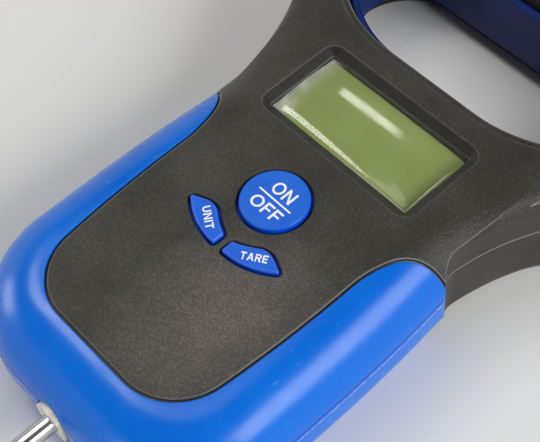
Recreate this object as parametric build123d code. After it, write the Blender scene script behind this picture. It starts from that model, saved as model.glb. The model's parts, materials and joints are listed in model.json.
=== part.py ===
from build123d import *
import math
import os

# Digital hanging fish scale, in millimetres. The scale lies on its flat back.
# +X is to the right of the face, +Y runs from the hook to the handle, +Z comes out of the face.
# The origin is on the back, straight under the middle of the ON/OFF button.

# ---- housing outline -------------------------------------------------------------------
depth = 30.0             # back to face
half_width = 40.9        # lower body, centre line to side
foot_y = -65.6           # hook end of the housing
foot_radius = 27.0       # plan corners at the hook end
side_y = -22.0           # where the straight sides start to draw in
side_radius = 376.0      # slow curve of the sides above that
swell_y = 11.5           # where the lower body turns in to the waist
swell_round = 5.5        # plan radius of that turn, then of the hollow after it
swell_hollow = 6.0
waist_half = 35.0        # half width of the waist beside the display
waist_y = 13.0
waist_radius = 63.0      # hollow curve of the waist
flank_radius = 22.6      # plan curve from the waist out to the handle's sides
handle_beside = 11.5     # thickness of the handle beside the hand hole's lining
handle_straight = 5.1    # straight run of the handle's sides
handle_corner = 26.0     # plan corners of the handle
handle_arch = 5.9        # rise of the handle's top between its corners
side_round = 14.0        # rollover of the lower body's sides
roll_ease = 0.05         # how far the rolled sides stand outside the straight ones
flare_round = 28.0       # plan radius where that rollover runs out to the side
edge_round = 4.5         # softer edges of the waist and handle

# ---- hand hole -------------------------------------------------------------------------
hole_low = 52.2          # lower rim of the hand hole
hole_flat = 14.0         # half length of its straight lower rim
hole_low_radius = 33.0
hole_end_radius = 13.0
hole_turn = 45.0         # degrees of the large lower curve
hole_round = 5.5         # rounding of the shells round the hole
liner_proud = 2.4        # how far the soft liner stands into the hole
liner_chamfer = 0.8

# ---- shells and overmould --------------------------------------------------------------
wall = 2.4
grip_thick = 2.4         # soft overmould on the sides
split_z = 18.0           # parting plane of the two shells
groove_width = 0.7       # groove between the face panel and the overmould
groove_depth = 0.9
panel_low = -51.3        # lower edge of the hard face panel
panel_corner = 14.5
panel_half = 27.1        # half width of the panel at its sides
panel_side_y = -6.0
panel_side_radius = 316.0
panel_bend = 30.0        # gentle outward bend, then the tight one
panel_bend_y = -3.0
panel_bend_turn = 20.0
panel_flare = 11.0
panel_flare_turn = 70.0
fit = 0.1                # gap between parts that are assembled by hand
tiny = 0.05

# ---- display ---------------------------------------------------------------------------
window_half = 21.8
window_low = 18.5
window_high = 38.9
bevel_width = 2.45
bevel_depth = 1.5
bevel_corner = 3.6
lens_lip = 1.8           # flange of the lens under the panel
lens_flange = 1.2
lens_crown_radius = 210.0
lens_edge = 1.2          # rounding of the lens's top edges
lens_sink = 0.5          # top of the lens under the face
gasket_thick = 0.5
glass_thick = 2.0
glass_margin = 1.2       # display glass larger than the window
zebra_thick = 1.4
zebra_deep = 2.0
board_thick = 1.6

# ---- buttons ---------------------------------------------------------------------------
button_radius = 8.0
button_gap = 0.65
rim_round = 0.45         # rounded rims of the holes in the face
button_proud = 0.85
key_proud = 0.5
button_round = 0.7
button_flange = 1.5
key_flange = 0.9
flange_thick = 1.0
key_corner = 0.45
key_chamfer = 0.3
key_travel = 0.5
press_slack = 0.1        # stem to switch when pressed home
stem_radius = 1.8
switch_size = 5.2
switch_body = 1.5
switch_plunger = 1.1

# ---- load path -------------------------------------------------------------------------
axis_z = 15.0            # height of the load axis above the back
cell_width = 26.0
cell_length = 36.0
cell_thick = 11.0
cell_top = -6.5
cell_slot = 1.6
cell_slot_down = 8.5     # each slot from its end of the cell
cell_hole_apart = 10.0
bolt_deep = 6.5
cell_web = 3.2
cell_hole = 4.0
bar_half = 30.0
bar_thick = 4.0
bar_deep = 11.0
bolt_radius = 3.0
bolt_head = 5.0
bolt_head_high = 3.0
yoke_width = 18.0
yoke_high = 15.0
yoke_deep = 9.0
yoke_strip = 2.5
washer_radius = 4.5
washer_thick = 1.0
nut_across = 8.0
nut_high = 4.0
wire_radius = 2.25
running_gap = 0.06
bushing_radius = 5.0
bushing_flange = 7.0
bushing_flange_thick = 1.2

# ---- hook ------------------------------------------------------------------------------
shank_end = -80.0        # end of the hook's straight shank
bowl_radius = 12.0
bowl_y = -106.0
bowl_reach = 8.0         # from there the shank has moved across to the side of the bowl
hook_bend = 9.0
bowl_turn = 160.0
tip_straight = 4.0
tip_taper = 6.0
tip_radius = 0.6

# ---- battery bay -----------------------------------------------------------------------
cell_radius = 5.25       # AAA cells
cell_body = 43.3
cell_nub_radius = 1.9
cell_nub = 1.0
spring_room = 4.2        # from either end of a cell to the bay's end wall, when it lies in the middle
bay_low = 12.2
bay_high = 35.8
bay_wall = 1.6
bay_rib_half = 24.0      # rib between the cells
door_thick = 1.8
door_half = 28.2
door_low = 6.5
door_high = 41.5
door_corner = 3.0
door_gap = 0.25
door_sink = 0.3
cell_gap = 0.3
seal_out = 0.0           # seal ring outside the bay's mouth
seal_width = 1.2
seal_thick = 0.9
seal_sunk = 0.7
door_screw_rows = [9.0, 39.0]
door_screw_deep = 5.0
door_screw_head = 2.4
door_head_high = 1.2
door_rib_half = 20.0
contact_thick = 0.4
contact_half = 3.8
spring_slack = 0.3
spring_wire = 0.6
spring_base = 3.9
spring_tip = 2.6

# ---- screws ----------------------------------------------------------------------------
screw_radius = 1.25
screw_head = 2.6
screw_head_high = 1.6
boss_radius = 3.2
counterbore = 2.9
counterbore_deep = 8.0
pilot_deep = 6.0
screw_places = [(17.0, -42.5), (24.0, 2.4), (36.5, 45.2), (27.0, 93.7)]
board_half = 29.0
board_low = -27.0
board_high = 44.0
board_boss = 2.4
board_screw = 0.8
board_screw_head = 1.9
board_screw_places = [(24.5, -21.5), (26.2, 12.6)]

face_z = depth
inner_face_z = depth - wall
lens_z = inner_face_z - lens_flange
gasket_z = lens_z - gasket_thick
glass_z = gasket_z - glass_thick
board_top = glass_z - zebra_thick
board_z = board_top - board_thick
cell_z = door_sink + door_thick + cell_gap + cell_radius
bay_top = cell_z + cell_radius + cell_gap
bay_half = cell_body / 2 + cell_nub / 2 + spring_room
offset_y = bowl_y + bowl_reach
cell_rows = [bay_low + cell_gap + cell_radius, bay_high - cell_gap - cell_radius]
switch_top = board_top + switch_body + switch_plunger
stem_low = switch_top + key_travel + press_slack
thrust_y = cell_top - cell_length - yoke_high + yoke_strip + running_gap
liner_high = depth - hole_round
far = 200.0


def polar(centre, radius, degrees):
    return (centre[0] + radius * math.cos(math.radians(degrees)),
            centre[1] + radius * math.sin(math.radians(degrees)))


def bearing(a, b):
    return math.degrees(math.atan2(b[1] - a[1], b[0] - a[0]))


def both_sides(edges):
    """A closed face from the edges of its right half."""
    half = Curve() + edges
    return make_face((half + mirror(half, Plane.YZ)).edges())


def box(x0, x1, y0, y1, z0, z1):
    return Pos((x0 + x1) / 2, (y0 + y1) / 2, (z0 + z1) / 2) * Box(x1 - x0, y1 - y0, z1 - z0)


def rod(radius, z0, z1, x=0.0, y=0.0):
    return Pos(x, y, (z0 + z1) / 2) * Cylinder(radius, z1 - z0)


def rod_y(radius, y0, y1, x=0.0, z=axis_z):
    return Pos(x, (y0 + y1) / 2, z) * Rot(90, 0, 0) * Cylinder(radius, y1 - y0)


def both(places):
    """Each place and its mirror image across the centre line."""
    return [(side * x, y) for x, y in places for side in (1, -1)]


# ---- plan curves -----------------------------------------------------------------------
def side_swell():
    """Centre of the sides' slow curve, and the angle along it where they turn in to the waist."""
    centre = (half_width - side_radius, side_y)
    return centre, math.degrees(math.asin((swell_y - side_y) / side_radius))


def hole_end():
    """Centre of the hand hole's end curve."""
    low = (hole_flat, hole_low + hole_low_radius)
    return polar(low, hole_low_radius - hole_end_radius, hole_turn - 90)


def waist_edges(inset):
    """The outline's S-curve from the lower body into the waist, and on to the handle's side."""
    side, a = side_swell()
    swell = polar(side, side_radius - swell_round, a)
    waist = (waist_half + waist_radius, waist_y)
    near = swell_round + swell_hollow
    away = waist_radius - swell_hollow
    span = math.dist(swell, waist)
    lean = math.degrees(math.acos((near ** 2 + span ** 2 - away ** 2) / (2 * near * span)))
    turn = bearing(swell, waist) + lean
    hollow = polar(swell, near, turn)
    start = bearing(waist, hollow) % 360
    flank = flank_centre()
    b = bearing(flank, waist)
    return [
        CenterArc(side, side_radius - inset, 0, a),
        CenterArc(swell, swell_round - inset, a, turn - a),
        CenterArc(hollow, swell_hollow + inset, 180 + turn, start - 180 - turn),
        CenterArc(waist, waist_radius + inset, start, 180 + b - start),
        CenterArc(flank, flank_radius - inset, b, -b),
    ]


def flank_centre():
    x = hole_end()[0] + hole_end_radius + liner_proud + handle_beside - flank_radius
    run = waist_half + waist_radius - x
    return x, waist_y + math.sqrt((waist_radius + flank_radius) ** 2 - run ** 2)


def housing_plan(inset):
    """Plan outline of the whole housing, moved inwards by inset."""
    foot = (half_width - foot_radius, foot_y + foot_radius)
    flank = flank_centre()
    handle_half = flank[0] + flank_radius
    corner = (handle_half - handle_corner, flank[1] + handle_straight)
    rise = handle_corner + handle_arch
    top_radius = (corner[0] ** 2 + rise ** 2 - handle_corner ** 2) / (2 * handle_arch)
    arch = (0.0, corner[1] + rise - top_radius)
    c = bearing(arch, corner)
    edges = [
        Line((0, foot_y + inset), (foot[0], foot_y + inset)),
        CenterArc(foot, foot_radius - inset, -90, 90),
        Line((half_width - inset, foot[1]), (half_width - inset, side_y)),
        *waist_edges(inset),
        Line((handle_half - inset, flank[1]), (handle_half - inset, corner[1])),
        CenterArc(corner, handle_corner - inset, 0, c),
        CenterArc(arch, top_radius - inset, c, 90 - c),
    ]
    return both_sides(edges)


def hole_plan(outset):
    """Plan outline of the hand hole, moved outwards by outset."""
    low = (hole_flat, hole_low + hole_low_radius)
    end = hole_end()
    top = end[1] + hole_end_radius + outset
    edges = [
        Line((0, hole_low - outset), (hole_flat, hole_low - outset)),
        CenterArc(low, hole_low_radius + outset, -90, hole_turn),
        CenterArc(end, hole_end_radius + outset, hole_turn - 90, 180 - hole_turn),
        Line((end[0], top), (0, top)),
    ]
    return both_sides(edges)


def panel_plan(inset):
    """Plan of the hard face: the panel between the grips, and all the housing above them."""
    bend = (panel_half + panel_bend, panel_bend_y)
    flare = polar(bend, -(panel_bend - panel_flare), -panel_bend_turn)
    side = (panel_half - panel_side_radius, panel_side_y)
    corner_y = panel_low + panel_corner
    run = panel_side_radius - panel_corner
    corner = (side[0] + math.sqrt(run ** 2 - (corner_y - panel_side_y) ** 2), corner_y)
    a = bearing(side, corner)
    start = polar(flare, panel_flare + inset, 180 - panel_flare_turn)
    lean = math.radians(90 - panel_flare_turn)
    out = (far, start[1] + (far - start[0]) * math.tan(lean))
    edges = [
        Line((0, panel_low + inset), (corner[0], panel_low + inset)),
        CenterArc(corner, panel_corner - inset, -90, 90 + a),
        CenterArc(side, panel_side_radius - inset, a, -a),
        Line((panel_half - inset, panel_side_y), (panel_half - inset, panel_bend_y)),
        CenterArc(bend, panel_bend + inset, 180, -panel_bend_turn),
        CenterArc(flare, panel_flare + inset, 180 - panel_bend_turn, panel_bend_turn - panel_flare_turn),
        Line(start, out),
        Line(out, (far, far)),
        Line((far, far), (0, far)),
    ]
    return both_sides(edges)


def pod_plan(inset):
    """Plan of the lower body, whose sides run out above the grips."""
    foot = (half_width - foot_radius, foot_y + foot_radius)
    side, a = side_swell()
    flare = polar(side, side_radius + flare_round, a)
    top = flare[1] + flare_round + inset
    edges = [
        Line((0, foot_y + inset), (foot[0], foot_y + inset)),
        CenterArc(foot, foot_radius - inset, -90, 90),
        Line((half_width - inset, foot[1]), (half_width - inset, side_y)),
        CenterArc(side, side_radius - inset, 0, a),
        CenterArc(flare, flare_round + inset, 180 + a, -90 - a),
        Line((flare[0], top), (far, top)),
        Line((far, top), (far, far)),
        Line((far, far), (0, far)),
    ]
    return both_sides(edges)


# ---- solid forms -----------------------------------------------------------------------
def slab(plan, low, high):
    return Pos(0, 0, low) * extrude(plan, high - low)


def level_edges(solid, *levels):
    """The edges that lie at one of these heights."""
    return [e for e in solid.edges() if min(abs(e.center().Z - level) for level in levels) < 0.01]


def beside(edge, plan):
    """Whether an edge's middle is within or on the plan's bounding box."""
    reach = plan.bounding_box()
    centre = edge.center()
    return abs(centre.X) < reach.max.X + 0.1 and reach.min.Y - 0.1 < centre.Y < reach.max.Y + 0.1


def form(inset):
    """The housing's outer form moved inwards by inset on every side, with square rims above the grips."""
    plan = housing_plan(inset) - hole_plan(liner_proud + inset)
    return slab(plan, inset, depth - inset) & pod(inset)


def outer_form():
    """The housing's outer form, with its rims and the rims of the hand hole rounded."""
    hole = hole_plan(liner_proud)
    solid = slab(housing_plan(0) - hole, 0, depth)
    outer = [e for e in level_edges(solid, 0, depth) if not beside(e, hole)]
    solid = fillet(outer, edge_round)
    inner = [e for e in level_edges(solid, 0, depth) if beside(e, hole)]
    return fillet(inner, hole_round) & pod(0)


def pod(inset):
    """The lower body's rolled sides, running straight out past the waist."""
    solid = slab(pod_plan(inset - roll_ease), inset, depth - inset)
    rims = [e for e in level_edges(solid, inset, depth - inset) if e.center().Y < far / 4]
    return fillet(rims, side_round - inset)


def prism(plan):
    return slab(plan, -1, depth + 1)


def front_half(solid):
    return solid & box(-far, far, -far, far, split_z, far)


def rear_half(solid):
    return solid & box(-far, far, -far, far, -far, split_z)


def housing_block():
    """Both hard shells in one, before they are hollowed and parted."""
    block = form(grip_thick)
    block += form(groove_depth) & prism(panel_plan(-groove_width))
    return block + (outer_form() & prism(panel_plan(0)))


def housing_cavity():
    return form(grip_thick + wall) + (form(wall) & prism(panel_plan(wall)))


# ---- shells ----------------------------------------------------------------------------
def window(margin, low, high, corner=0.0):
    width = 2 * (window_half + margin)
    height = window_high - window_low + 2 * margin
    middle = (window_low + window_high) / 2
    plan = RectangleRounded(width, height, corner) if corner else Rectangle(width, height)
    return Pos(0, middle, low) * extrude(plan, high - low)


def window_bevel():
    middle = (window_low + window_high) / 2
    width = 2 * window_half
    height = window_high - window_low
    top = RectangleRounded(width + 2 * bevel_width, height + 2 * bevel_width, bevel_corner)
    bottom = RectangleRounded(width, height, tiny * 6)
    return loft([Pos(0, middle, face_z) * top, Pos(0, middle, face_z - bevel_depth) * bottom])


def key_plan(margin=0.0):
    """Plan of the left key: an arc-shaped key with a raised shoulder on its inner side."""
    inner_end = (-1.35, -13.8)
    outer_end = (-1.4, -16.95)
    tip = (-14.7, -12.0)
    edges = [
        Line(inner_end, outer_end),
        ThreePointArc(outer_end, (-8.1, -15.85), tip),
        Line(tip, (-11.3, -10.55)),
        ThreePointArc((-11.3, -10.55), (-9.3, -10.1), (-7.2, -10.6)),
        ThreePointArc((-7.2, -10.6), (-4.5, -12.35), inner_end),
    ]
    plan = make_face((Curve() + edges).edges())
    if not margin:
        return fillet(plan.vertices(), key_corner)
    sharp = [v for v in plan.vertices() if v.X > outer_end[0] - 0.1 or v.X < tip[0] + 0.1]
    return offset(fillet(sharp, key_corner), margin)


def bushing_bore():
    seat = foot_y + grip_thick + wall + 0.2
    bore = rod_y(bushing_radius + tiny, foot_y - 5, seat + 5)
    return bore + rod_y(bushing_flange + 2 * tiny, seat, seat + 6)


def front_shell():
    shell = front_half(housing_block()) - housing_cavity()
    bosses = []
    for x, y in both(screw_places):
        bosses.append(rod(boss_radius, split_z, inner_face_z + 0.3, x, y))
    for x, y in both(board_screw_places):
        bosses.append(rod(board_boss, board_top, inner_face_z + 0.3, x, y))
    shell += [boss & form(grip_thick) for boss in bosses]
    for x, y in both(screw_places):
        shell -= rod(screw_radius + tiny, split_z - 1, split_z + pilot_deep, x, y)
    for x, y in both(board_screw_places):
        shell -= rod(board_screw + tiny, board_top - 1, board_top + 3.5, x, y)
    shell -= window(0, inner_face_z - 1, face_z + 1)
    shell -= window_bevel()
    shell -= rod(button_radius + button_gap, inner_face_z - 1, face_z + 1)
    key_hole = slab(key_plan(button_gap), inner_face_z - 1, face_z + 1)
    shell -= [key_hole, mirror(key_hole, Plane.YZ)]
    rims = [e for e in level_edges(shell, face_z) if abs(e.center().X) < panel_half - 1]
    rims = [e for e in rims if panel_low + 5 < e.center().Y < window_low - bevel_width - 1]
    return fillet(rims, rim_round) - bushing_bore()


def rear_shell():
    shell = rear_half(housing_block()) - housing_cavity()
    ledge = door_sink + door_thick + door_gap
    ribs = []
    for x, y in both(screw_places):
        ribs.append(rod(boss_radius, 0.5, split_z - tiny, x, y))
    x = door_half + bay_wall
    ribs.append(box(-x, x, door_low - bay_wall, door_high + bay_wall, 0.5, ledge + bay_wall))
    x = bay_half + bay_wall
    ribs.append(box(-x, x, bay_low - bay_wall, bay_high + bay_wall, 0.5, bay_top + bay_wall))
    for y in door_screw_rows:
        ribs.append(rod(boss_radius, 0.5, ledge + door_screw_deep + 1, 0, y))
    for side in (-1, 1):
        x0, x1 = sorted((side * (cell_width / 2 + 6), side * (bar_half + 1)))
        ribs.append(box(x0, x1, cell_top - 4, cell_top - tiny, 0.5, axis_z + bar_deep / 2 - 1))
        x0, x1 = sorted((side * (bar_half - 3), side * (bar_half + 1)))
        ribs.append(box(x0, x1, cell_top + bar_thick + tiny, cell_top + bar_thick + 1.4, 0.5, axis_z))
    shell += [rib & form(grip_thick) for rib in ribs]
    shell -= box(-bay_half, bay_half, bay_low, bay_high, -1, bay_top)
    middle = (bay_low + bay_high) / 2
    shell += box(-bay_rib_half, bay_rib_half, middle - 0.6, middle + 0.6, bay_top - 3, bay_top + 0.5)
    shell -= slab(door_plan(door_gap), -1, ledge)
    for y in door_screw_rows:
        shell -= rod(screw_radius + 2 * tiny, 0, ledge + door_screw_deep, 0, y)
    for x, y in both(screw_places):
        shell -= rod(counterbore, -1, counterbore_deep, x, y)
        shell -= rod(screw_radius + 2 * tiny, -1, split_z + 1, x, y)
    return shell - bushing_bore()


def grip(half):
    """The soft overmould on the sides and foot of one shell."""
    skin = half(outer_form()) - form(grip_thick) - prism(panel_plan(-groove_width))
    return skin - rod_y(bushing_radius + 0.4, foot_y - 5, foot_y + 5)


def hole_liner():
    """The soft band round the inside of the hand hole."""
    low = depth - liner_high
    inner = hole_plan(0)
    ring = slab(hole_plan(liner_proud) - inner, low, liner_high)
    rims = [e for e in level_edges(ring, low, liner_high) if beside(e, inner)]
    return chamfer(rims, liner_chamfer)


# ---- display and electronics -----------------------------------------------------------
def display_lens():
    flange = window(lens_lip, lens_z, inner_face_z)
    block = window(-fit, inner_face_z, face_z - lens_sink)
    block = fillet(level_edges(block, face_z - lens_sink), lens_edge)
    middle = (window_low + window_high) / 2
    crown = Pos(0, middle, face_z - lens_sink - lens_crown_radius) * Sphere(lens_crown_radius)
    return flange + (block & crown)


def lens_gasket():
    return window(lens_lip, gasket_z, lens_z) - window(-0.5, gasket_z - 1, lens_z + 1)


def display_glass():
    return window(glass_margin, glass_z, gasket_z)


def zebra_strips():
    strips = []
    for y in (window_low - glass_margin, window_high + glass_margin - zebra_deep):
        strips.append(box(-window_half, window_half, y, y + zebra_deep, board_top, glass_z))
    return strips


def circuit_board():
    board = box(-board_half, board_half, board_low, board_high, board_z, board_top)
    board = fillet(board.edges().filter_by(Axis.Z), 2)
    x, y = screw_places[1]
    for side in (-1, 1):
        x0, x1 = sorted((side * (x - boss_radius - 0.5), side * (board_half + 1)))
        board -= box(x0, x1, y - boss_radius - 0.5, y + boss_radius + 0.5, board_z - 1, board_top + 1)
    for x, y in both(board_screw_places):
        board -= rod(board_screw + 0.2, board_z - 1, board_top + 1, x, y)
    return board


def board_chips():
    controller = box(-6, 6, 18, 30, board_z - 1.3, board_z)
    amplifier = box(-14, -8, 6, 10, board_z - 1.2, board_z)
    return [controller, amplifier]


def board_screws():
    screws = []
    for x, y in both(board_screw_places):
        head = rod(board_screw_head, board_z - 1.1, board_z, x, y)
        screws.append(head + rod(board_screw, board_z - 0.2, board_top + 3, x, y))
    return screws


def key_centre():
    return key_plan().center()


def tact_switches():
    middle = key_centre()
    switches = []
    for x, y in [(0, 0), (middle.X, middle.Y), (-middle.X, middle.Y)]:
        h = switch_size / 2
        body = box(x - h, x + h, y - h, y + h, board_top, board_top + switch_body)
        switches.append(body + rod(1.6, board_top + switch_body - 0.1, switch_top, x, y))
    return switches


def on_off_button():
    cap = rod(button_radius, inner_face_z - flange_thick, face_z + button_proud)
    cap = fillet(level_edges(cap, face_z + button_proud), button_round)
    cap += rod(button_radius + button_flange, inner_face_z - fit - flange_thick, inner_face_z - fit)
    return cap + rod(stem_radius, stem_low, inner_face_z - fit)


def left_key():
    top_z = face_z + key_proud
    cap = slab(key_plan(), inner_face_z - fit - flange_thick, top_z)
    cap = chamfer(level_edges(cap, top_z), key_chamfer)
    cap += slab(key_plan(key_flange), inner_face_z - fit - flange_thick, inner_face_z - fit)
    middle = key_centre()
    return cap + rod(stem_radius, stem_low, inner_face_z - fit, middle.X, middle.Y)


# ---- load path -------------------------------------------------------------------------
def load_cell():
    low = cell_top - cell_length
    half = cell_width / 2
    z0 = axis_z - cell_thick / 2
    z1 = axis_z + cell_thick / 2
    cell = box(-half, half, low, cell_top, z0, z1)
    upper = cell_top - cell_slot_down
    lower = low + cell_slot_down
    cell -= box(-half - 1, half - cell_web, upper - cell_slot / 2, upper + cell_slot / 2, z0 - 1, z1 + 1)
    cell -= box(cell_web - half, half + 1, lower - cell_slot / 2, lower + cell_slot / 2, z0 - 1, z1 + 1)
    middle = (low + cell_top) / 2
    for x in (-cell_hole_apart / 2, cell_hole_apart / 2):
        cell -= rod(cell_hole, z0 - 1, z1 + 1, x, middle)
    x = cell_hole_apart / 2
    cell -= box(-x, x, middle - cell_slot / 2, middle + cell_slot / 2, z0 - 1, z1 + 1)
    cell -= rod_y(bolt_radius + tiny, cell_top - bolt_deep - 0.5, cell_top + 1)
    return cell - rod_y(bolt_radius + tiny, low - 1, low + bolt_deep + 0.5)


def anchor_bar():
    z = bar_deep / 2
    bar = box(-bar_half, bar_half, cell_top, cell_top + bar_thick, axis_z - z, axis_z + z)
    bar = fillet(bar.edges().filter_by(Axis.Y), 1.5)
    return bar - rod_y(bolt_radius + fit, cell_top - 1, cell_top + bar_thick + 1)


def hex_y(across, y0, y1):
    plan = RegularPolygon(across / 2, 6, major_radius=False)
    return Pos(0, y1, axis_z) * Rot(90, 0, 0) * extrude(plan, y1 - y0)


def anchor_bolt():
    seat = cell_top + bar_thick
    head = hex_y(2 * bolt_head * 0.866, seat, seat + bolt_head_high)
    return head + rod_y(bolt_radius, cell_top - bolt_deep, seat)


def swivel_yoke():
    top = cell_top - cell_length
    low = top - yoke_high
    half = yoke_width / 2
    z0 = axis_z - yoke_deep / 2
    z1 = axis_z + yoke_deep / 2
    yoke = box(-half, half, low, top, z0, z1)
    yoke = fillet(yoke.edges().filter_by(Axis.Z), yoke_strip)
    opening = box(yoke_strip - half, half - yoke_strip, low + yoke_strip, top - yoke_strip, z0 - 1, z1 + 1)
    yoke -= fillet(opening.edges().filter_by(Axis.Z), 1.0)
    yoke -= rod_y(bolt_radius + fit, top - yoke_strip - 1, top + 1)
    return yoke - rod_y(wire_radius + running_gap, low - 1, low + yoke_strip + 1)


def yoke_bolt():
    low = cell_top - cell_length
    seat = low - yoke_strip
    return rod_y(bolt_head, seat - bolt_head_high, seat) + rod_y(bolt_radius, seat, low + bolt_deep)


def shaft_bushing():
    seat = foot_y + grip_thick + wall + 0.2
    body = rod_y(bushing_radius, foot_y - 0.6, seat)
    body += rod_y(bushing_flange, seat, seat + bushing_flange_thick)
    return body - rod_y(wire_radius + running_gap, foot_y - 5, seat + 5)


def thrust_washer():
    washer = rod_y(washer_radius, thrust_y, thrust_y + washer_thick)
    return washer - rod_y(wire_radius + fit, thrust_y - 1, thrust_y + washer_thick + 1)


def hook_nut():
    low = thrust_y + washer_thick
    return hex_y(nut_across, low, low + nut_high) - rod_y(wire_radius + tiny, low - 1, low + nut_high + 1)


def hook():
    """A round-wire hook: straight shank, offset run and a bowl centred under the load axis."""
    top = thrust_y + washer_thick + nut_high + 0.4
    shank = FilletPolyline([(0, top), (0, shank_end), (-bowl_radius, offset_y), (-bowl_radius, bowl_y)],
                           radius=hook_bend)
    bowl = CenterArc((0, bowl_y), bowl_radius, 180, bowl_turn)
    end = bowl @ 1
    way = bowl % 1
    tip = Line(end, end + way * tip_straight)
    path = Curve() + [shank, bowl, tip]
    start = Plane(origin=(0, top, 0), z_dir=(0, -1, 0))
    wire = sweep(start * Circle(wire_radius), path=Wire(path.edges()))
    point = end + way * tip_straight
    taper = Pos(0, 0, tip_taper / 2) * Cone(wire_radius, tip_radius, tip_taper)
    cone = Plane(origin=point, z_dir=way) * taper
    return Pos(0, 0, axis_z) * (wire + cone)


# ---- batteries and door ----------------------------------------------------------------
def door_plan(margin=0.0):
    width = 2 * (door_half + margin)
    height = door_high - door_low + 2 * margin
    return Pos(0, (door_low + door_high) / 2) * RectangleRounded(width, height, door_corner + margin)


def seal_ring(margin):
    out_x = bay_half + seal_out + margin
    out_y = seal_out + margin
    inner = seal_width + 2 * margin
    low = bay_low - out_y
    high = bay_high + out_y
    ring = box(-out_x, out_x, low, high, 0, 1)
    return ring - box(inner - out_x, out_x - inner, low + inner, high - inner, -1, 2)


def battery_door():
    top = door_sink + door_thick
    door = slab(door_plan(), door_sink, top)
    for y in door_screw_rows:
        door -= rod(door_screw_head + fit, door_sink - 1, door_sink + door_head_high, 0, y)
        door -= rod(screw_radius + fit, 0, top + 1, 0, y)
    rib_x = door_rib_half
    for y in (cell_rows[0], cell_rows[1]):
        door -= box(-rib_x, rib_x, y - 2.5, y + 2.5, top - 0.5, top + 1)
    return door - Pos(0, 0, top - seal_sunk) * seal_ring(0)


def door_seal():
    top = door_sink + door_thick
    ring = seal_ring(0)
    return Pos(0, 0, top - seal_sunk) * (ring & box(-far, far, -far, far, 0, seal_thick))


def door_screws():
    screws = []
    for y in door_screw_rows:
        head = rod(door_screw_head, door_sink + 0.1, door_sink + door_head_high, 0, y)
        screws.append(head + rod(screw_radius, door_sink + door_head_high - 0.2,
                                 door_sink + door_thick + door_gap + door_screw_deep - 0.5, 0, y))
    return screws


def battery(y, nub_side):
    profile = Polyline((0, 0), (cell_radius, 0), (cell_radius, cell_body), (cell_nub_radius, cell_body),
                       (cell_nub_radius, cell_body + cell_nub), (0, cell_body + cell_nub), close=True)
    cell = revolve(Plane.XZ * make_face(profile.edges()), Axis.Z)
    end = nub_side * (bay_half - contact_thick - 0.1)
    return Pos(end, y, cell_z) * Rot(0, 90 * nub_side, 0) * Pos(0, 0, -cell_body - cell_nub) * cell


def spring(y, side):
    """A conical contact spring, as the hollow cone that its coils make."""
    length = 2 * (bay_half - contact_thick) - cell_body - cell_nub - spring_slack
    outer = Cone(spring_base, spring_tip, length)
    inner = Cone(spring_base - spring_wire, spring_tip - spring_wire, length)
    cone = Pos(0, 0, length / 2) * (outer - inner)
    return Pos(side * (bay_half - contact_thick), y, cell_z) * Rot(0, -90 * side, 0) * cone


def cell_contacts():
    h = contact_half
    t = contact_thick
    low = cell_rows[0] - h
    high = cell_rows[1] + h
    bridge = box(-bay_half, t - bay_half, low, high, cell_z - h, cell_z + h)
    tabs = [box(bay_half - t, bay_half, y - h, y + h, cell_z - h, cell_z + h) for y in cell_rows]
    return [bridge] + tabs


def case_screws():
    screws = []
    for x, y in both(screw_places):
        seat = counterbore_deep
        head = rod(screw_head, seat - screw_head_high, seat, x, y)
        screws.append(head + rod(screw_radius, seat - 0.2, split_z + pilot_deep - 0.6, x, y))
    return screws


def save(name, *solids):
    flat = []
    for item in solids:
        flat.extend(item if isinstance(item, list) else [item])
    whole = Compound(children=[s for item in flat for s in item.solids()])
    export_step(whole if len(whole.solids()) > 1 else whole.solids()[0], "parts/" + name + ".step")


def main():
    os.makedirs("parts", exist_ok=True)
    save("front_shell", front_shell())
    save("rear_shell", rear_shell())
    save("front_grip", grip(front_half))
    save("rear_grip", grip(rear_half))
    save("hole_liner", hole_liner())
    save("display_lens", display_lens())
    save("lens_gasket", lens_gasket())
    save("display_glass", display_glass())
    save("zebra_strips", zebra_strips())
    save("circuit_board", circuit_board())
    save("board_chips", board_chips())
    save("board_screws", board_screws())
    save("tact_switches", tact_switches())
    save("on_off_button", on_off_button())
    key = left_key()
    save("unit_button", key)
    save("tare_button", mirror(key, Plane.YZ))
    save("load_cell", load_cell())
    save("anchor_bar", anchor_bar())
    save("anchor_bolt", anchor_bolt())
    save("swivel_yoke", swivel_yoke())
    save("yoke_bolt", yoke_bolt())
    save("shaft_bushing", shaft_bushing())
    save("thrust_washer", thrust_washer())
    save("hook_nut", hook_nut())
    save("hook", hook())
    save("battery_1", battery(cell_rows[0], 1))
    save("battery_2", battery(cell_rows[1], -1))
    save("cell_springs", [spring(cell_rows[0], -1), spring(cell_rows[1], 1)])
    save("cell_contacts", cell_contacts())
    save("battery_door", battery_door())
    save("door_seal", door_seal())
    save("door_screws", door_screws())
    save("case_screws", case_screws())


main()
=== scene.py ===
import json
import math

import bmesh
import bpy
from mathutils import Matrix, Vector


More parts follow.
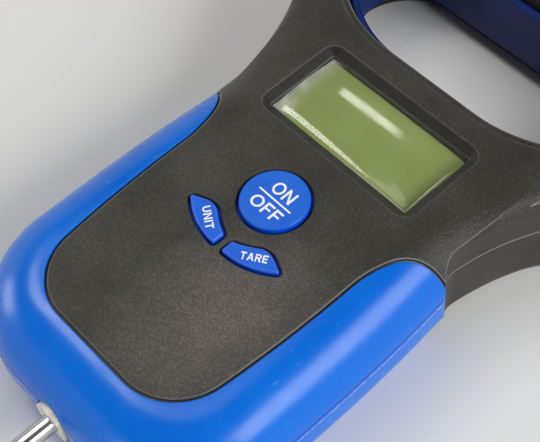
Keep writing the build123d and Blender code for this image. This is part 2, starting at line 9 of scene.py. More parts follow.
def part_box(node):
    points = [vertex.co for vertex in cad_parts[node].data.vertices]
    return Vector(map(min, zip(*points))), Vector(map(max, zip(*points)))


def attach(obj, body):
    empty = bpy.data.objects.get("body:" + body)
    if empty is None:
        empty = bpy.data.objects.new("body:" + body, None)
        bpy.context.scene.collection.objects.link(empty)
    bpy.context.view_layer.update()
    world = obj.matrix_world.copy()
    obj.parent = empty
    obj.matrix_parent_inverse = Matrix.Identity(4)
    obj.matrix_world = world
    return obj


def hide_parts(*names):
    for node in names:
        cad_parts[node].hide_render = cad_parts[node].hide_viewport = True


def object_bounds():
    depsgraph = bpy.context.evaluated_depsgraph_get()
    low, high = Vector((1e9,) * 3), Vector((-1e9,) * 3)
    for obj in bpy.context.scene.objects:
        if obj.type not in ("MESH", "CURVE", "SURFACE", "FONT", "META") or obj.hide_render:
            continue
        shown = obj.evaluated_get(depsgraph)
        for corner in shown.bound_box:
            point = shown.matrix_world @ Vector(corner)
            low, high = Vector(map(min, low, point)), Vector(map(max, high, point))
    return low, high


MM = 0.001

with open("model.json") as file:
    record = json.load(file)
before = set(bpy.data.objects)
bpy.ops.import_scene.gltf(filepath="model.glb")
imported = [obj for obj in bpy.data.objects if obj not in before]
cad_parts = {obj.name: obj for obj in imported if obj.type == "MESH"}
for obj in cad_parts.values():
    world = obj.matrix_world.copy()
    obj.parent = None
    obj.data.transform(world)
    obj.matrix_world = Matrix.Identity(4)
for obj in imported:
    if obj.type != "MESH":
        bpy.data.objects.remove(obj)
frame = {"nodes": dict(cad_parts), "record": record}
nodes = frame["nodes"]
cad_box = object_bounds()


# ---- sizes, in millimetres -------------------------------------------------------------
face_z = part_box("front_shell")[1].z / MM
split_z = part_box("front_grip")[0].z / MM
button_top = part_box("on_off_button")[1].z / MM
bezel_half = 24.0        # about half the width of the display window with its bevel

lens_low, lens_high = [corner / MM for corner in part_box("display_lens")]
lens_middle = (lens_low + lens_high) / 2
lens_half = (lens_high - lens_low) / 2
lens_lip = 1.9           # width of the lens's flange, under the rim of the window
lens_flange = 1.2        # thickness of that flange
lens_round = 0.7         # rounding of the edges of the lens's front

crown_share = 0.16       # height of a screw head's crown, as a share of its radius
ink_thick = 0.02         # thickness of the printed words
print_lift = 0.002       # height of the middle of that thickness over the keys
paper_gap = 0.2          # between the object and the backdrop


# ---- materials -------------------------------------------------------------------------
def colour(r, g, b):
    """Scene-linear colour of 8-bit display values."""
    values = [c / 255 for c in (r, g, b)]
    return [((v + 0.055) / 1.055) ** 2.4 if v > 0.04 else v / 12.92 for v in values] + [1.0]


def darker(base, share):
    """A colour with each of its parts reduced to a share."""
    return [c * share for c in base[:3]] + [1.0]


class Finish:
    """A node material being put together around one Principled shader."""

    def __init__(self, name):
        self.material = bpy.data.materials.new(name)
        self.material.use_nodes = True
        self.tree = self.material.node_tree
        self.shader = self.tree.nodes["Principled BSDF"]
        self.place = self.add("ShaderNodeTexCoord").outputs["Object"]

    def add(self, kind, values=None, **settings):
        """A new node with its settings, and its inputs linked or set from values."""
        node = self.tree.nodes.new(kind)
        for key, value in settings.items():
            setattr(node, key, value)
        for key, value in (values or {}).items():
            if isinstance(value, bpy.types.NodeSocket):
                self.tree.links.new(value, node.inputs[key])
            else:
                node.inputs[key].default_value = value
        return node

    def set(self, **values):
        """Link or set the shader's own sockets."""
        for key, value in values.items():
            socket = self.shader.inputs[key.replace("_", " ")]
            if isinstance(value, bpy.types.NodeSocket):
                self.tree.links.new(value, socket)
            else:
                socket.default_value = value

    def noise(self, size, detail=3.0, roughness=0.5, stretch=(1, 1, 1)):
        """Noise with features about size millimetres across, drawn out along the axes of stretch."""
        scale = [1.0 / (size * s * MM) for s in stretch]
        mapping = self.add("ShaderNodeMapping", {"Vector": self.place, "Scale": scale})
        values = {"Vector": mapping.outputs[0], "Scale": 1.0, "Detail": detail, "Roughness": roughness}
        return self.add("ShaderNodeTexNoise", values).outputs["Fac"]

    def spread(self, fac, low, high, start=0.3, end=0.7):
        """fac from start to end turned into low to high."""
        values = {"Value": fac, "From Min": start, "From Max": end, "To Min": low, "To Max": high}
        return self.add("ShaderNodeMapRange", values).outputs[0]

    def mix(self, fac, a, b):
        """Colour a where fac is 0 and b where it is 1."""
        factor, first, second, result = 0, 6, 7, 2      # the node's colour sockets
        node = self.add("ShaderNodeMix", {factor: fac, first: a, second: b}, data_type="RGBA")
        return node.outputs[result]

    def axis(self, name):
        """One of the object's coordinates, in millimetres."""
        split = self.add("ShaderNodeSeparateXYZ", {"Vector": self.place})
        return self.math("MULTIPLY", split.outputs[name], 1.0 / MM)

    def math(self, operation, *values):
        """The result of one sum, product or other operation on the values."""
        return self.add("ShaderNodeMath", dict(enumerate(values)), operation=operation).outputs[0]

    def near(self, value, middle, reach, soft=0.05):
        """1 where value lies within reach of middle, 0 outside, with a soft step between."""
        away = self.math("ABSOLUTE", self.math("SUBTRACT", value, middle))
        return self.spread(away, 1.0, 0.0, reach - soft, reach + soft)

    def rounded(self, radius):
        """Normals rounded over the sharp edges, radius in millimetres."""
        return self.add("ShaderNodeBevel", {"Radius": radius * MM}, samples=6).outputs[0]

    def edges(self, radius):
        """Normals rounded over the sharp edges, and 1 where that turns them, 0 on the flats."""
        soft = self.rounded(radius)
        flat = self.add("ShaderNodeNewGeometry").outputs["Normal"]
        node = self.add("ShaderNodeVectorMath", {0: soft, 1: flat}, operation="DOT_PRODUCT")
        return soft, self.spread(node.outputs["Value"], 1.0, 0.0, 0.9, 0.995)

    def length(self, vector):
        """The length of a vector."""
        return self.add("ShaderNodeVectorMath", {0: vector}, operation="LENGTH").outputs["Value"]

    def relief(self, height, depth, under=None):
        """Bump of height, depth millimetres deep, on top of the normals under it."""
        values = {"Height": height, "Strength": 1.0, "Distance": depth * MM}
        if under is not None:
            values["Normal"] = under
        return self.add("ShaderNodeBump", values).outputs[0]

    def instead(self, fac, other):
        """Show the shader where fac is 0 and the other one where it is 1."""
        values = {0: fac, 1: self.shader.outputs[0], 2: other.outputs[0]}
        blend = self.add("ShaderNodeMixShader", values)
        output = self.tree.nodes["Material Output"]
        self.tree.links.new(blend.outputs[0], output.inputs["Surface"])


def plastic(name, dark, light, rough, grain, depth, tone=18.0, speck=0.35, gloss=0.5, edge=0.0, wear_and_highlight=0.0,
            smooth=None, shade=None):
    """
    Moulded plastic: its tone drifts, a fine grain roughens it and its edges are slightly rounded.

    The tone drifts from dark to light over tone millimetres. The grain is grain millimetres across and
    depth deep, with paler specks of strength speck. Edges are rounded by edge millimetres and made paler,
    partly as wear and partly as a painted highlight. shade paints light and shade into the colour from place
    to place, and smooth says where there is no grain and where painted shade darkens the face.
    """
    speck_gain = 2.6
    # gain of the paler edge colour, partly wear and partly a painted highlight
    edge_highlight_gain = 3.6
    # share of the dark tone left on the smooth window rim, as painted shade
    rim_shade_share = 0.8
    look = Finish(name)
    drift = look.spread(look.noise(tone, detail=4.0, roughness=0.55), 0.0, 1.0, 0.34, 0.66)
    fine = look.noise(grain, detail=2.0, roughness=0.6)
    specks = look.spread(fine, 0.0, speck, 0.44, 0.72)
    base = look.mix(drift, dark, light)
    if shade:
        base = shade(look, base)
    values = {0: base, 1: [speck_gain] * 3}
    paler = look.add("ShaderNodeVectorMath", values, operation="MULTIPLY").outputs[0]
    base = look.mix(specks, base, paler)
    patches = look.noise(tone * 0.4)
    if smooth:
        bare = smooth(look)
        # painted shade: the smooth window rim is darker
        base = look.mix(bare, base, darker(dark, rim_shade_share))
        fine = look.math("MULTIPLY", fine, look.math("SUBTRACT", 1.0, bare))
    soft = None
    # edges painted paler, partly as wear and partly as a painted highlight, which is weaker near the display
    # window
    if edge:
        soft, wear_and_highlight_mask = look.edges(edge)
        if smooth:
            aside = look.math("ABSOLUTE", look.axis("X"))
            highlight_away_from_window = look.spread(aside, 0.45, 1.0, bezel_half, bezel_half + 6.0)
            wear_and_highlight_mask = look.math("MULTIPLY", wear_and_highlight_mask, highlight_away_from_window)
        highlight_grey = min(1.0, sum(light[:3]) * edge_highlight_gain)
        base = look.mix(look.math("MULTIPLY", wear_and_highlight_mask, wear_and_highlight), base, [highlight_grey, highlight_grey, highlight_grey, 1.0])
    look.set(Base_Color=base, Roughness=look.spread(patches, rough - 0.05, rough + 0.05))
    look.set(Normal=look.relief(fine, depth, under=soft), Specular_IOR_Level=gloss)
    return look


def window_rim(look):
    """1 on the smooth sloping rim of the display window, which has none of the face's grain."""
    slope = 0.9              # reach of the rim past the lens's flange
    across = look.near(look.axis("X"), 0.0, lens_half.x + slope)
    along = look.near(look.axis("Y"), lens_middle.y, lens_half.y + slope)
    sunk = look.spread(look.axis("Z"), 1.0, 0.0, face_z - 0.12, face_z - 0.02)
    return look.math("MULTIPLY", look.math("MULTIPLY", across, along), sunk)


def painted_light_and_shade(look, base):
    """Painted paler on the lower part of the panel, as a pool of light, and painted darkest along the
    handle, as shade.
    """
    light_pool_x, light_pool_y = 14.0, -27.0
    wide, long = 16.0, 21.0
    handle_start = 34.0
    from_light_pool = {
        "Vector": look.place,
        "Location": (-light_pool_x / wide, -light_pool_y / long, 0),
        "Scale": (1.0 / (wide * MM), 1.0 / (long * MM), 0),
    }
    away = look.length(look.add("ShaderNodeMapping", from_light_pool).outputs[0])
    away = look.math("ADD", away, look.spread(look.noise(11.0), -0.25, 0.25))
    # painted light: paler round the middle of the pool of light
    base = look.mix(look.spread(away, 0.85, 0.0, 0.25, 1.35), base, colour(90, 85, 79))
    # painted shade: darker along the handle
    handle_shade = look.spread(look.axis("Y"), 0.0, 0.75, handle_start, handle_start + 36.0)
    return look.mix(handle_shade, base, colour(12, 12, 10))


def painted_key_side_light(look, base):
    """The keys' sides are painted a brighter, purer blue, as light reaching them in the gaps round the keys.
    """
    side = look.spread(look.axis("Z"), 0.9, 0.0, button_top - 0.75, button_top - 0.25)
    # painted light: the sides lightened to a purer blue
    return look.mix(side, base, colour(0, 92, 252))


def overmould(name):
    """Soft satin rubber with scuffs, a dip along the moulds' parting line, painted darker as shade, and thin
    flash under it.
    """
    seam_z = split_z + 0.6
    flash_z = split_z - 0.35
    knocked_z = split_z - 4.0
    look = Finish(name)
    z = look.axis("Z")
    drift = look.spread(look.noise(24.0, detail=4.0), 0.0, 1.0)
    base = look.mix(drift, colour(0, 105, 219), colour(0, 114, 227))
    knocks = look.math("MULTIPLY", look.near(z, knocked_z, reach=4.0, soft=1.5), 0.06)
    scuffs = look.math("ADD", look.noise(1.0, detail=5.0, roughness=0.7, stretch=(1, 4, 1)), knocks)
    base = look.mix(look.spread(scuffs, 0.0, 0.6, 0.64, 0.76), base, colour(110, 164, 236))
    flecks = look.spread(look.noise(0.9, detail=4.0, roughness=0.7), 0.2, 1.0, 0.42, 0.6)
    flash = look.math("MULTIPLY", look.near(z, flash_z, reach=0.25, soft=0.2), flecks)
    base = look.mix(flash, base, colour(140, 188, 248))
    seam = look.near(z, seam_z, reach=0.45, soft=0.25)
    # painted shade: the dip of the parting line is darker blue
    base = look.mix(look.math("MULTIPLY", seam, 0.9), base, colour(0, 74, 200))
    skin = look.relief(look.noise(0.45, detail=2.0), 0.006, under=look.rounded(0.35))
    look.set(Base_Color=base, Roughness=look.spread(look.noise(7.0, detail=4.0), 0.22, 0.29))
    look.set(Normal=look.relief(seam, -0.1, under=skin))
    look.set(Specular_IOR_Level=0.4, Specular_Tint=(0.82, 0.85, 0.9, 1.0))
    return look


def metal(name, dark, light, rough, stretch=(1, 1, 1), grain=0.6, depth=0.006):
    """Bare or plated metal with drawn or machined lines."""
    look = Finish(name)
    drift = look.spread(look.noise(9.0, detail=4.0), 0.0, 1.0)
    lines = look.noise(grain, roughness=0.6, stretch=stretch)
    roughness = look.spread(lines, rough - 0.06, rough + 0.08)
    look.set(Base_Color=look.mix(drift, dark, light), Metallic=1.0, Roughness=roughness)
    look.set(Normal=look.relief(lines, depth))
    return look


coal = (colour(43, 42, 37), colour(60, 57, 52))
shell = plastic("shell", *coal, rough=0.41, grain=0.42, depth=0.18, tone=21.0, speck=0.7, gloss=0.3,
                edge=0.65, wear_and_highlight=0.75, smooth=window_rim, shade=painted_light_and_shade)
door_shell = plastic("door_shell", *coal, rough=0.46, grain=0.44, depth=0.12, tone=26.0, speck=0.4,
                     gloss=0.3, edge=0.5, wear_and_highlight=0.8)
grip = overmould("grip")
# the hand hole's liner: the grip's blue rubber painted darker, as shade
shaded_grip_lining = plastic("shaded_grip_lining", colour(4, 30, 92), colour(8, 38, 108), rough=0.45, grain=0.5, depth=0.01,
                 tone=20.0, speck=0.05, gloss=0.25, edge=0.3)
button = plastic("button", colour(20, 98, 214), colour(30, 108, 224), rough=0.4, grain=0.35, depth=0.008,
                 tone=9.0, speck=0.04, gloss=0.3, edge=0.3, wear_and_highlight=0.2, shade=painted_key_side_light)
ink = plastic("ink", colour(244, 247, 252), colour(253, 254, 255), rough=0.5, grain=0.25, depth=0.004,
              tone=4.0, speck=0.0)
gasket = plastic("gasket", colour(18, 18, 19), colour(26, 26, 27), rough=0.7, grain=0.4, depth=0.01)
zebra = plastic("zebra", colour(190, 188, 182), colour(60, 60, 60), rough=0.6, grain=0.3, depth=0.004)
board = plastic("board", colour(18, 70, 42), colour(28, 92, 54), rough=0.38, grain=0.5, depth=0.01)
chips = plastic("chips", colour(22, 22, 24), colour(32, 32, 34), rough=0.45, grain=0.3, depth=0.008)
bushing = plastic("bushing", colour(205, 200, 186), colour(224, 220, 208), rough=0.34, grain=0.5,
                  depth=0.004)
screw_steel = metal("screw_steel", colour(120, 121, 124), colour(160, 161, 163), rough=0.34)
plate_steel = metal("plate_steel", colour(150, 151, 153), colour(184, 184, 186), rough=0.3)
hook_steel = metal("hook_steel", colour(168, 169, 172), colour(205, 206, 208), rough=0.2, grain=1.2,
                   depth=0.003)
cell_aluminium = metal("cell_aluminium", colour(176, 178, 180), colour(205, 206, 208), rough=0.34,
                       stretch=(1, 12, 1))
contact_metal = metal("contact_metal", colour(190, 182, 160), colour(214, 206, 186), rough=0.26)


def jacket_finish(name):
    """A cell's plain jacket, with one paler band, between its bare steel ends."""
    low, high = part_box(name)
    middle = (low.x + high.x) / 2 / MM
    half = (high.x - low.x) / 2 / MM
    bare_end = 2.2
    band_away = 8.0 if name == "battery_1" else -8.0      # the cells lie head to tail
    look = Finish(name)
    x = look.axis("X")
    covered = look.near(x, middle, reach=half - bare_end, soft=0.1)
    band = look.near(x, middle + band_away, reach=6.0, soft=0.08)
    tone = look.mix(look.spread(look.noise(6.0), 0.0, 1.0), colour(36, 40, 46), colour(50, 54, 62))
    tone = look.mix(band, tone, colour(150, 152, 156))
    look.set(Base_Color=look.mix(covered, colour(186, 187, 190), tone))
    look.set(Metallic=look.spread(covered, 1.0, 0.1, 0.0, 1.0))
    look.set(Roughness=look.spread(look.noise(1.2), 0.24, 0.34))
    look.set(Normal=look.relief(look.noise(0.8), 0.004))
    return look


def lens_finish():
    """Clear acrylic, with a painted reflection whitening its left end and a painted glint along its lower
    edge; lamps shine through it.
    """
    look = Finish("lens")
    left_end = lens_low.x + lens_lip
    lower_edge = lens_low.y + lens_lip
    x, y = look.axis("X"), look.axis("Y")
    haze = look.spread(look.noise(3.0, detail=4.0), 0.05, 0.1)
    ripple = look.relief(look.noise(8.0, detail=2.0, stretch=(1, 25, 1)), 0.0015)
    away = look.math("ADD", x, look.spread(look.noise(5.0), -1.2, 1.2))
    corner = look.spread(y, 1.0, 0.0, lower_edge, lower_edge + 6.1)
    away = look.math("SUBTRACT", away, look.math("MULTIPLY", corner, 2.5))
    # painted reflection: the left end turned white
    left_end_reflection = look.math("POWER", look.spread(away, 0.74, 0.0, left_end, left_end + 5.6), 1.6)
    # painted glint: a white line along the lower edge
    edge = look.near(y, lower_edge, reach=0.32, soft=0.1)
    glint = look.math("MULTIPLY", edge, look.spread(x, 0.0, 0.85, -4.0, 9.0))
    clear = look.math("SUBTRACT", 1.0, look.math("MAXIMUM", left_end_reflection, glint))
    look.set(Base_Color=colour(236, 238, 226), Roughness=haze, IOR=1.49, Normal=ripple)
    look.set(Transmission_Weight=clear)
    through = look.add("ShaderNodeBsdfTransparent", {"Color": (0.96, 0.97, 0.95, 1.0)})
    look.instead(look.add("ShaderNodeLightPath").outputs["Is Shadow Ray"], through)
    return look


def bond_finish():
    """The lens's flat back, which the clear bond under it keeps from reflecting."""
    look = Finish("lens_bond")
    look.set(Base_Color=(1.0, 1.0, 1.0, 1.0), Alpha=0.0)
    look.set(Roughness=look.spread(look.noise(3.0), 0.0, 0.02))
    return look


def display_finish():
    """Reflective liquid-crystal glass, olive green and faintly brushed behind."""
    look = Finish("display")
    drift = look.spread(look.noise(16.0), 0.0, 1.0)
    brushed = look.noise(0.3, detail=2.0, stretch=(60, 1, 1))
    base = look.mix(drift, colour(118, 132, 71), colour(128, 143, 80))
    base = look.mix(look.spread(brushed, 0.0, 0.08), base, colour(120, 130, 80))
    look.set(Base_Color=base, Roughness=look.spread(brushed, 0.27, 0.31))
    look.set(Normal=look.relief(brushed, 0.0004))
    return look


lens = lens_finish()
bond = bond_finish()
display = display_finish()

finishes = {
    "shell": shell, "door_shell": door_shell, "grip": grip, "button": button, "lens": lens,
    "display": display, "gasket": gasket, "zebra": zebra, "board": board, "chips": chips,
    "screw_steel": screw_steel, "plate_steel": plate_steel, "cell_aluminium": cell_aluminium,
    "hook_steel": hook_steel, "bushing": bushing, "contact_metal": contact_metal,
}
own_finishes = {         # of nodes that don't take their slot's finish
    "hole_liner": shaded_grip_lining,
    "battery_1": jacket_finish("battery_1"),
    "battery_2": jacket_finish("battery_2"),
}
slots = {s["node"]: s["material_slot"] for s in frame["record"]["subparts"]}
for name, node in nodes.items():
    finish = own_finishes[name] if name in own_finishes else finishes[slots[name]]
    node.data.materials.clear()
    node.data.materials.append(finish.material)


# ---- making pieces ---------------------------------------------------------------------
def circle(radius, count):
    """Places round the origin, the first of them on +X."""
    turns = [2 * math.pi * k / count for k in range(count)]
    return [(radius * math.cos(a), radius * math.sin(a)) for a in turns]


def add_ring(mesh, places, last=None):
    """A closed ring of vertices, joined by faces to the ring before it, if there is one."""
    ring = [mesh.verts.new(place) for place in places]
    if last:
        for k in range(len(ring)):
            mesh.faces.new((last[k - 1], last[k], ring[k], ring[k - 1]))
    return ring


def finished(name, mesh):
    """The mesh of a bmesh, with its faces all turned the same way."""
    bmesh.ops.recalc_face_normals(mesh, faces=mesh.faces[:])
    data = bpy.data.meshes.new(name)
    mesh.to_mesh(data)
    mesh.free()
    return data


def new_piece(name, data, *materials):
    """An object of a mesh and its materials, linked to the scene."""
    data.materials.clear()
    for material in materials:
        data.materials.append(material)
    piece = bpy.data.objects.new(name, data)
    bpy.context.scene.collection.objects.link(piece)
    return piece


# ---- display lens ----------------------------------------------------------------------
def steps(half, count):
    """Places across the lens, from edge to edge, close together on its rounded edges."""
    edge = [half - lens_round * (1 - math.cos(math.radians(a))) for a in range(0, 90, 15)]
    inner = half - lens_round
    middle = [inner * (1 - 2 * i / count) for i in range(count + 1)]
    return [-x for x in edge] + middle[::-1] + edge[::-1]


def lens_drop(x, y, half_x, half_y):
    """Drop of the pillowed front under its crown. Its lower side rolls off, widest at the left."""
    u = x / half_x
    v = y / half_y
    sides, ends, tips = 0.72, 0.2, 0.55
    drop = sides * v ** 2 + ends * u ** 2 + tips * u ** 8
    steepness = 0.11
    fall = 0.3 - 0.2 * u     # share of the half height that rolls off
    drop += steepness * fall * half_y * max(0.0, (fall - 1.0 - v) / fall) ** 2
    for away in (half_x - abs(x), half_y - abs(y)):
        if away < lens_round:
            drop += lens_round - math.sqrt(max(0.0, lens_round ** 2 - (lens_round - away) ** 2))
    return drop


def past_edge(value, half, grow):
    """A place on the lens's edge moved outwards by grow; one inside it stays."""
    return value + math.copysign(grow, value) if abs(value) > half - 0.001 else value


def lens_cover():
    """The moulded lens, pillowed like the real one, over the flange that holds it in the shell."""
    half_x = lens_half.x - lens_lip
    half_y = lens_half.y - lens_lip
    top, bottom = lens_high.z, lens_low.z
    ledge = bottom + lens_flange
    xs = steps(half_x, 44)
    mesh = bmesh.new()
    rows = []
    for y in steps(half_y, 24):
        rows.append([mesh.verts.new((x, y, top - lens_drop(x, y, half_x, half_y))) for x in xs])
    for a, b in zip(rows, rows[1:]):
        for i in range(len(xs) - 1):
            mesh.faces.new((a[i], a[i + 1], b[i + 1], b[i]))
    rim = rows[0] + [r[-1] for r in rows[1:-1]] + rows[-1][::-1] + [r[0] for r in rows[-2:0:-1]]
    outline = [(v.co.x, v.co.y) for v in rim]
    for grow, z in ((0.0, ledge), (lens_lip, ledge), (lens_lip, bottom)):
        places = [(past_edge(x, half_x, grow), past_edge(y, half_y, grow), z) for x, y in outline]
        rim = add_ring(mesh, places, rim)
    mesh.faces.new(rim)
    data = finished("lens_cover", mesh)
    data.transform(Matrix.Translation((0, lens_middle.y * MM, 0)) @ Matrix.Scale(MM, 4))
    piece = new_piece("lens_cover", data, lens.material, bond.material)
    for face in data.polygons:
        face.use_smooth = face.normal.z > 0.05 and face.center.z > (ledge + 0.1) * MM
        face.material_index = int(face.normal.z < -0.9)
    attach(piece, "housing")
    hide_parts("display_lens")


lens_cover()


# ---- screw heads -----------------------------------------------------------------------
def head_drop(x, y, radius):
    """Depth of a cross-recessed pan head under its crown, at a place from its middle."""
    arm = 0.62 * radius      # length of the cross's arms
    half = 0.17 * radius     # half their width
    slant = 0.12
    deep = 0.9
    away = math.hypot(x, y)
    length = max(0.0, 1.0 - away / arm)
    cut = max(0.0, min(1.0, (half - min(abs(x), abs(y))) / slant + 0.5))
    crown = crown_share * radius * (away / radius) ** 2
    return crown + deep * min(1.0, length * 4.0) * cut * (0.55 + 0.45 * length)


def thread(ridge, low, high):
    """Radii and heights of a thread's ridges and roots, from low up to its closed end."""
    root = 0.84 * ridge
    pitch = 0.5
    plain_end = 0.4
    tip = 0.05
    profile = [(ridge, low)]
    z = low + pitch
    while z < high - plain_end:
        profile += [(ridge, z), (root, z + pitch / 2)]
        z += pitch
    return profile + [(root, high), (tip, high)]


def screw_head(name, node, body, x, y, low, high, radius, turn):
    """A cross-recessed head in place of a CAD screw's plain one, with its threaded shank behind."""
    rings = 22
    spokes = 72
    rim_thick = 0.55
    head = []
    for i in range(1, rings + 1):
        places = circle(radius * i / rings, spokes)
        head.append([(a, b, low + head_drop(a, b, radius)) for a, b in places])
    mesh = bmesh.new()
    centre = mesh.verts.new((0, 0, low + head_drop(0, 0, radius)))
    last = add_ring(mesh, head[0])
    for k in range(spokes):
        mesh.faces.new((centre, last[k], last[k - 1]))
    for places in head[1:]:
        last = add_ring(mesh, places, last)
    under = low + crown_share * radius + rim_thick
    for r, z in [(radius, under)] + thread(0.48 * radius, under, high):
        last = add_ring(mesh, [(a, b, z) for a, b in circle(r, spokes)], last)
    mesh.faces.new(last)
    data = finished(name, mesh)
    place = Matrix.Translation((x * MM, y * MM, 0)) @ Matrix.Rotation(math.radians(turn), 4, "Z")
    data.transform(place @ Matrix.Scale(MM, 4))
    for face in data.polygons:
        face.use_smooth = True
    piece = new_piece(name, data, screw_steel.material)
    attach(piece, body)
    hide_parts(node)


def screw_places(node):
    """The middle, height range and head radius of each separate screw of a node."""
    apart = 6 * MM
    screws = []
    for vert in nodes[node].data.vertices:
        for first, points in screws:
            if (vert.co.xy - first.xy).length < apart:
                points.append(vert.co.copy())
                break
        else:
            screws.append((vert.co.copy(), [vert.co.copy()]))
    places = []
    for _, points in screws:
        low = [min(p[i] for p in points) / MM for i in range(3)]
        high = [max(p[i] for p in points) / MM for i in range(3)]
        middle = [(a + b) / 2 for a, b in zip(low, high)]
        places.append((middle[0], middle[1], low[2], high[2], (high[0] - low[0]) / 2))
    return sorted(places)


for node, body in (("case_screws", "housing"), ("door_screws", "battery_door")):
    for i, place in enumerate(screw_places(node)):
        screw_head("%s_%d" % (node[:-1], i + 1), node, body, *place, turn=37.0 * i + 12)


# ---- printed legends -------------------------------------------------------------------
letter_widths = {"O": 0.98, "N": 0.82, "F": 0.66, "U": 0.8, "T": 0.76, "A": 0.92, "R": 0.82, "E": 0.7}


def arc(x, y, rx, ry, start, end, count=24):
    """Places on an ellipse about x, y, from one turn to another in degrees."""
    turns = [math.radians(start + (end - start) * i / count) for i in range(count + 1)]
    return [(x + rx * math.cos(a), y + ry * math.sin(a)) for a in turns]


def letter(name, t):
    """Width and closed outlines of a plain upright capital one unit high, with strokes t wide."""
    if name == "I":
        return t, [[(0, 0), (t, 0), (t, 1), (0, 1)]]
    w = letter_widths[name]
    bar = 0.42
    bar_top = bar + 0.9 * t
    if name == "O":
        outside = arc(w / 2, 0.5, w / 2, 0.5, 0, 345, 23)
        inside = arc(w / 2, 0.5, w / 2 - t, 0.5 - 0.9 * t, 0, 345, 23)
        return w, [outside, inside]
    if name == "N":
        left = [(0, 0), (t, 0), (t, 0.72), (w - t, 0)]
        right = [(w, 0), (w, 1), (w - t, 1), (w - t, 0.28), (t, 1), (0, 1)]
        return w, [left + right]
    if name == "F":
        foot = [(0, 0), (t, 0), (t, bar), (w * 0.9, bar), (w * 0.9, bar_top)]
        return w, [foot + [(t, bar_top), (t, 1 - t), (w, 1 - t), (w, 1), (0, 1)]]
    if name == "E":
        foot = [(0, 0), (w, 0), (w, t), (t, t), (t, bar), (w * 0.92, bar), (w * 0.92, bar_top)]
        return w, [foot + [(t, bar_top), (t, 1 - t), (w, 1 - t), (w, 1), (0, 1)]]
    if name == "U":
        outside = arc(w / 2, 0.38, w / 2, 0.38, 180, 360)
        inside = arc(w / 2, 0.38, w / 2 - t, 0.38 - t, 360, 180)
        return w, [[(0, 1)] + outside + [(w, 1), (w - t, 1)] + inside + [(t, 1)]]
    if name == "T":
        left, right = (w - t) / 2, (w + t) / 2
        stem = [(left, 0), (right, 0), (right, 1 - t)]
        return w, [stem + [(w, 1 - t), (w, 1), (0, 1), (0, 1 - t), (left, 1 - t)]]
    if name == "A":
        foot = 1.1 * t
        lean = w / 2 - 0.6 * t
        low, high = 0.22, 0.22 + 0.85 * t
        legs = [(0, 0), (foot, 0), (foot + lean * low, low), (w - foot - lean * low, low)]
        outline = legs + [(w - foot, 0), (w, 0), (w / 2 + 0.6 * t, 1), (w / 2 - 0.6 * t, 1)]
        peak = (w / 2, (w / 2 - foot) / lean)
        return w, [outline, [(foot + lean * high, high), (w - foot - lean * high, high), peak]]
    bowl = arc(0.5, 0.71, 0.3, 0.29, -65, 90)
    counter = arc(0.48, 0.71, 0.3 - t + 0.02, 0.29 - 0.85 * t, -90, 90)
    low, high = counter[0][1], counter[-1][1]
    legs = [(0, 0), (t, 0), (t, 0.4), (0.36, 0.4), (w - 1.2 * t, 0), (w, 0)]
    return w, [legs + bowl + [(0, 1)], [(t, low)] + counter + [(t, high)]]


def legend(name, text, body, centre, height, width, turn=0.0, stroke=0.175):
    """Capitals of a given height and width printed on a key, whose body is named like its node."""
    gap = 0.15
    curve = bpy.data.curves.new(name, "CURVE")
    curve.dimensions = "2D"
    curve.fill_mode = "BOTH"
    curve.extrude = 0.004    # any depth does, as the piece is scaled to the ink's below
    start = 0.0
    for character in text:
        across, loops = letter(character, stroke)
        for loop in loops:
            spline = curve.splines.new("POLY")
            spline.points.add(len(loop) - 1)
            for point, (x, y) in zip(spline.points, loop):
                point.co = (start + x, y, 0.0, 1.0)
            spline.use_cyclic_u = True
        start += across + gap
    source = bpy.data.objects.new(name + "_source", curve)
    bpy.context.scene.collection.objects.link(source)
    bpy.context.view_layer.update()
    mesh = bpy.data.meshes.new_from_object(source)
    bpy.data.objects.remove(source)
    low = [min(v.co[i] for v in mesh.vertices) for i in range(3)]
    high = [max(v.co[i] for v in mesh.vertices) for i in range(3)]
    wanted = (width, height, ink_thick)
    scale = [size / (b - a) * MM for size, a, b in zip(wanted, low, high)]
    to_middle = Matrix.Translation([-(a + b) / 2 for a, b in zip(low, high)])
    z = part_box(body)[1].z + print_lift * MM
    place = Matrix.Translation((centre[0] * MM, centre[1] * MM, z))
    turned = Matrix.Rotation(math.radians(turn), 4, "Z")
    mesh.transform(place @ turned @ Matrix.Diagonal(scale + [1.0]) @ to_middle)
    piece = new_piece(name, mesh, ink.material)
    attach(piece, body)


legend("legend_on", "ON", "on_off_button", (0.30, 2.58), height=3.4, width=6.1)
legend("legend_off", "OFF", "on_off_button", (0.42, -2.98), height=3.2, width=8.7)
legend("legend_rule", "I", "on_off_button", (0.29, -0.19), height=10.0, width=0.42, turn=90)
legend("legend_unit", "UNIT", "unit_button", (-6.95, -13.45), height=1.95, width=6.1, turn=-32.5, stroke=0.2)
legend("legend_tare", "TARE", "tare_button", (7.95, -13.2), height=1.95, width=6.1, turn=33, stroke=0.2)


# ---- stage, light and camera -----------------------------------------------------------
def backdrop_finish():
    """Matt pale paper, lit near the object and plainly pale further off."""
    look = Finish("backdrop")
    pale = colour(236, 236, 234)
    look.set(Base_Color=look.mix(look.spread(look.noise(60.0), 0.0, 1.0), pale, darker(pale, 0.985)))
    look.set(Roughness=look.spread(look.noise(40.0), 0.66, 0.74))
    ray = look.add("ShaderNodeLightPath").outputs
    seen = look.math("MAXIMUM", ray["Is Camera Ray"], ray["Is Glossy Ray"])
    seen = look.math("MAXIMUM", seen, ray["Is Transmission Ray"])
    far = look.math("MULTIPLY", look.spread(look.length(look.place), 0.0, 1.0, 0.35, 0.9), seen)
    look.instead(far, look.add("ShaderNodeEmission", {"Color": pale, "Strength": 1.0}))
    return look


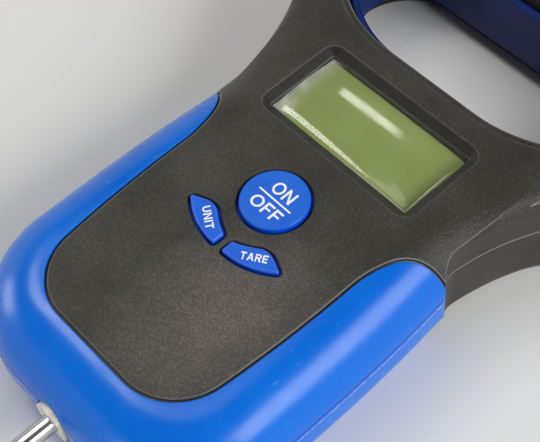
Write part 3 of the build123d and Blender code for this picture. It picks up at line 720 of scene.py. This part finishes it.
def backdrop():
    """One sheet of paper: a floor that curves up into a wall all round, well behind the lamps."""
    spokes = 64
    # radius and height in metres
    profile = [(0.5, 0.0), (2.2, 0.0), (2.5, 0.04), (2.75, 0.16), (2.92, 0.36), (3.0, 0.65), (3.0, 1.6)]
    ground = cad_box[0].z - paper_gap * MM
    rings = [[(x, y, ground + rise) for x, y in circle(radius, spokes)] for radius, rise in profile]
    mesh = bmesh.new()
    last = add_ring(mesh, rings[0])
    mesh.faces.new(last)
    for places in rings[1:]:
        last = add_ring(mesh, places, last)
    data = finished("floor", mesh)
    for face in data.polygons:
        face.use_smooth = True
    floor = new_piece("floor", data, backdrop_finish().material)


backdrop()


def lamp(name, azimuth, elevation, distance, size, power, tint=(1, 1, 1), turn=0.0):
    """
    A soft rectangular lamp that faces the object.

    It stands azimuth degrees round from +X and elevation degrees up. Its first side is level, unless it
    has a turn.
    """
    data = bpy.data.lights.new(name, "AREA")
    data.shape = "RECTANGLE"
    data.size, data.size_y = size
    data.energy = power
    data.color = tint
    light = bpy.data.objects.new(name, data)
    bearing, rise = math.radians(azimuth), math.radians(elevation)
    way = Vector((math.cos(rise) * math.cos(bearing), math.cos(rise) * math.sin(bearing), math.sin(rise)))
    aim = Vector((0, 0, 0.02))
    light.location = aim + way * distance
    level = Vector((0, 0, 1)).cross(way).normalized()
    level = Matrix.Rotation(math.radians(turn), 3, way) @ level
    light.rotation_euler = Matrix((level, way.cross(level), way)).transposed().to_euler()
    bpy.context.scene.collection.objects.link(light)


lamp("key", 16, 34, 1.1, size=(0.8, 0.5), power=9.8)
lamp("top", 165, 76, 1.1, size=(0.4, 0.4), power=1.1)
lamp("sky", 185, 56, 1.1, size=(0.22, 0.34), power=2.4, tint=(1.0, 0.97, 0.93))
lamp("side", 210, 14, 1.1, size=(0.35, 0.35), power=2.3)
lamp("front", 270, 14, 1.1, size=(0.35, 0.35), power=1.5)
lamp("pane", 130.2, 46.0, 1.0, size=(0.1, 0.06), power=0.2, tint=(1.0, 0.97, 0.9), turn=-31.0)

world = bpy.data.worlds.new("world")
bpy.context.scene.world = world
world.use_nodes = True
background = world.node_tree.nodes["Background"].inputs
background["Color"].default_value = (1.0, 1.0, 1.0, 1.0)
background["Strength"].default_value = 0.12

bpy.context.scene.view_settings.view_transform = "Standard"

# the camera: its lens, then its own axes and its place in the object's frame
sensor_width = 36.0
picture_width = 540.0    # in pixels, like the next two
focal_length = 1304.2155
shift_right = -1.0
right = Vector((0.67083, 0.73776, -0.07544))
up = Vector((-0.58617, 0.58979, 0.55548))
back = Vector((0.45431, -0.32841, 0.82810))
standpoint = Vector((0.132373, -0.097453, 0.265241))

camera_data = bpy.data.cameras.new("camera")
camera_data.sensor_width = sensor_width
camera_data.lens = focal_length * sensor_width / picture_width
camera_data.shift_x = shift_right / picture_width
camera_data.clip_start = 0.01
camera = bpy.data.objects.new("camera", camera_data)
bpy.context.scene.collection.objects.link(camera)
bpy.context.scene.camera = camera
camera.matrix_world = Matrix.Translation(standpoint) @ Matrix((right, up, back)).transposed().to_4x4()
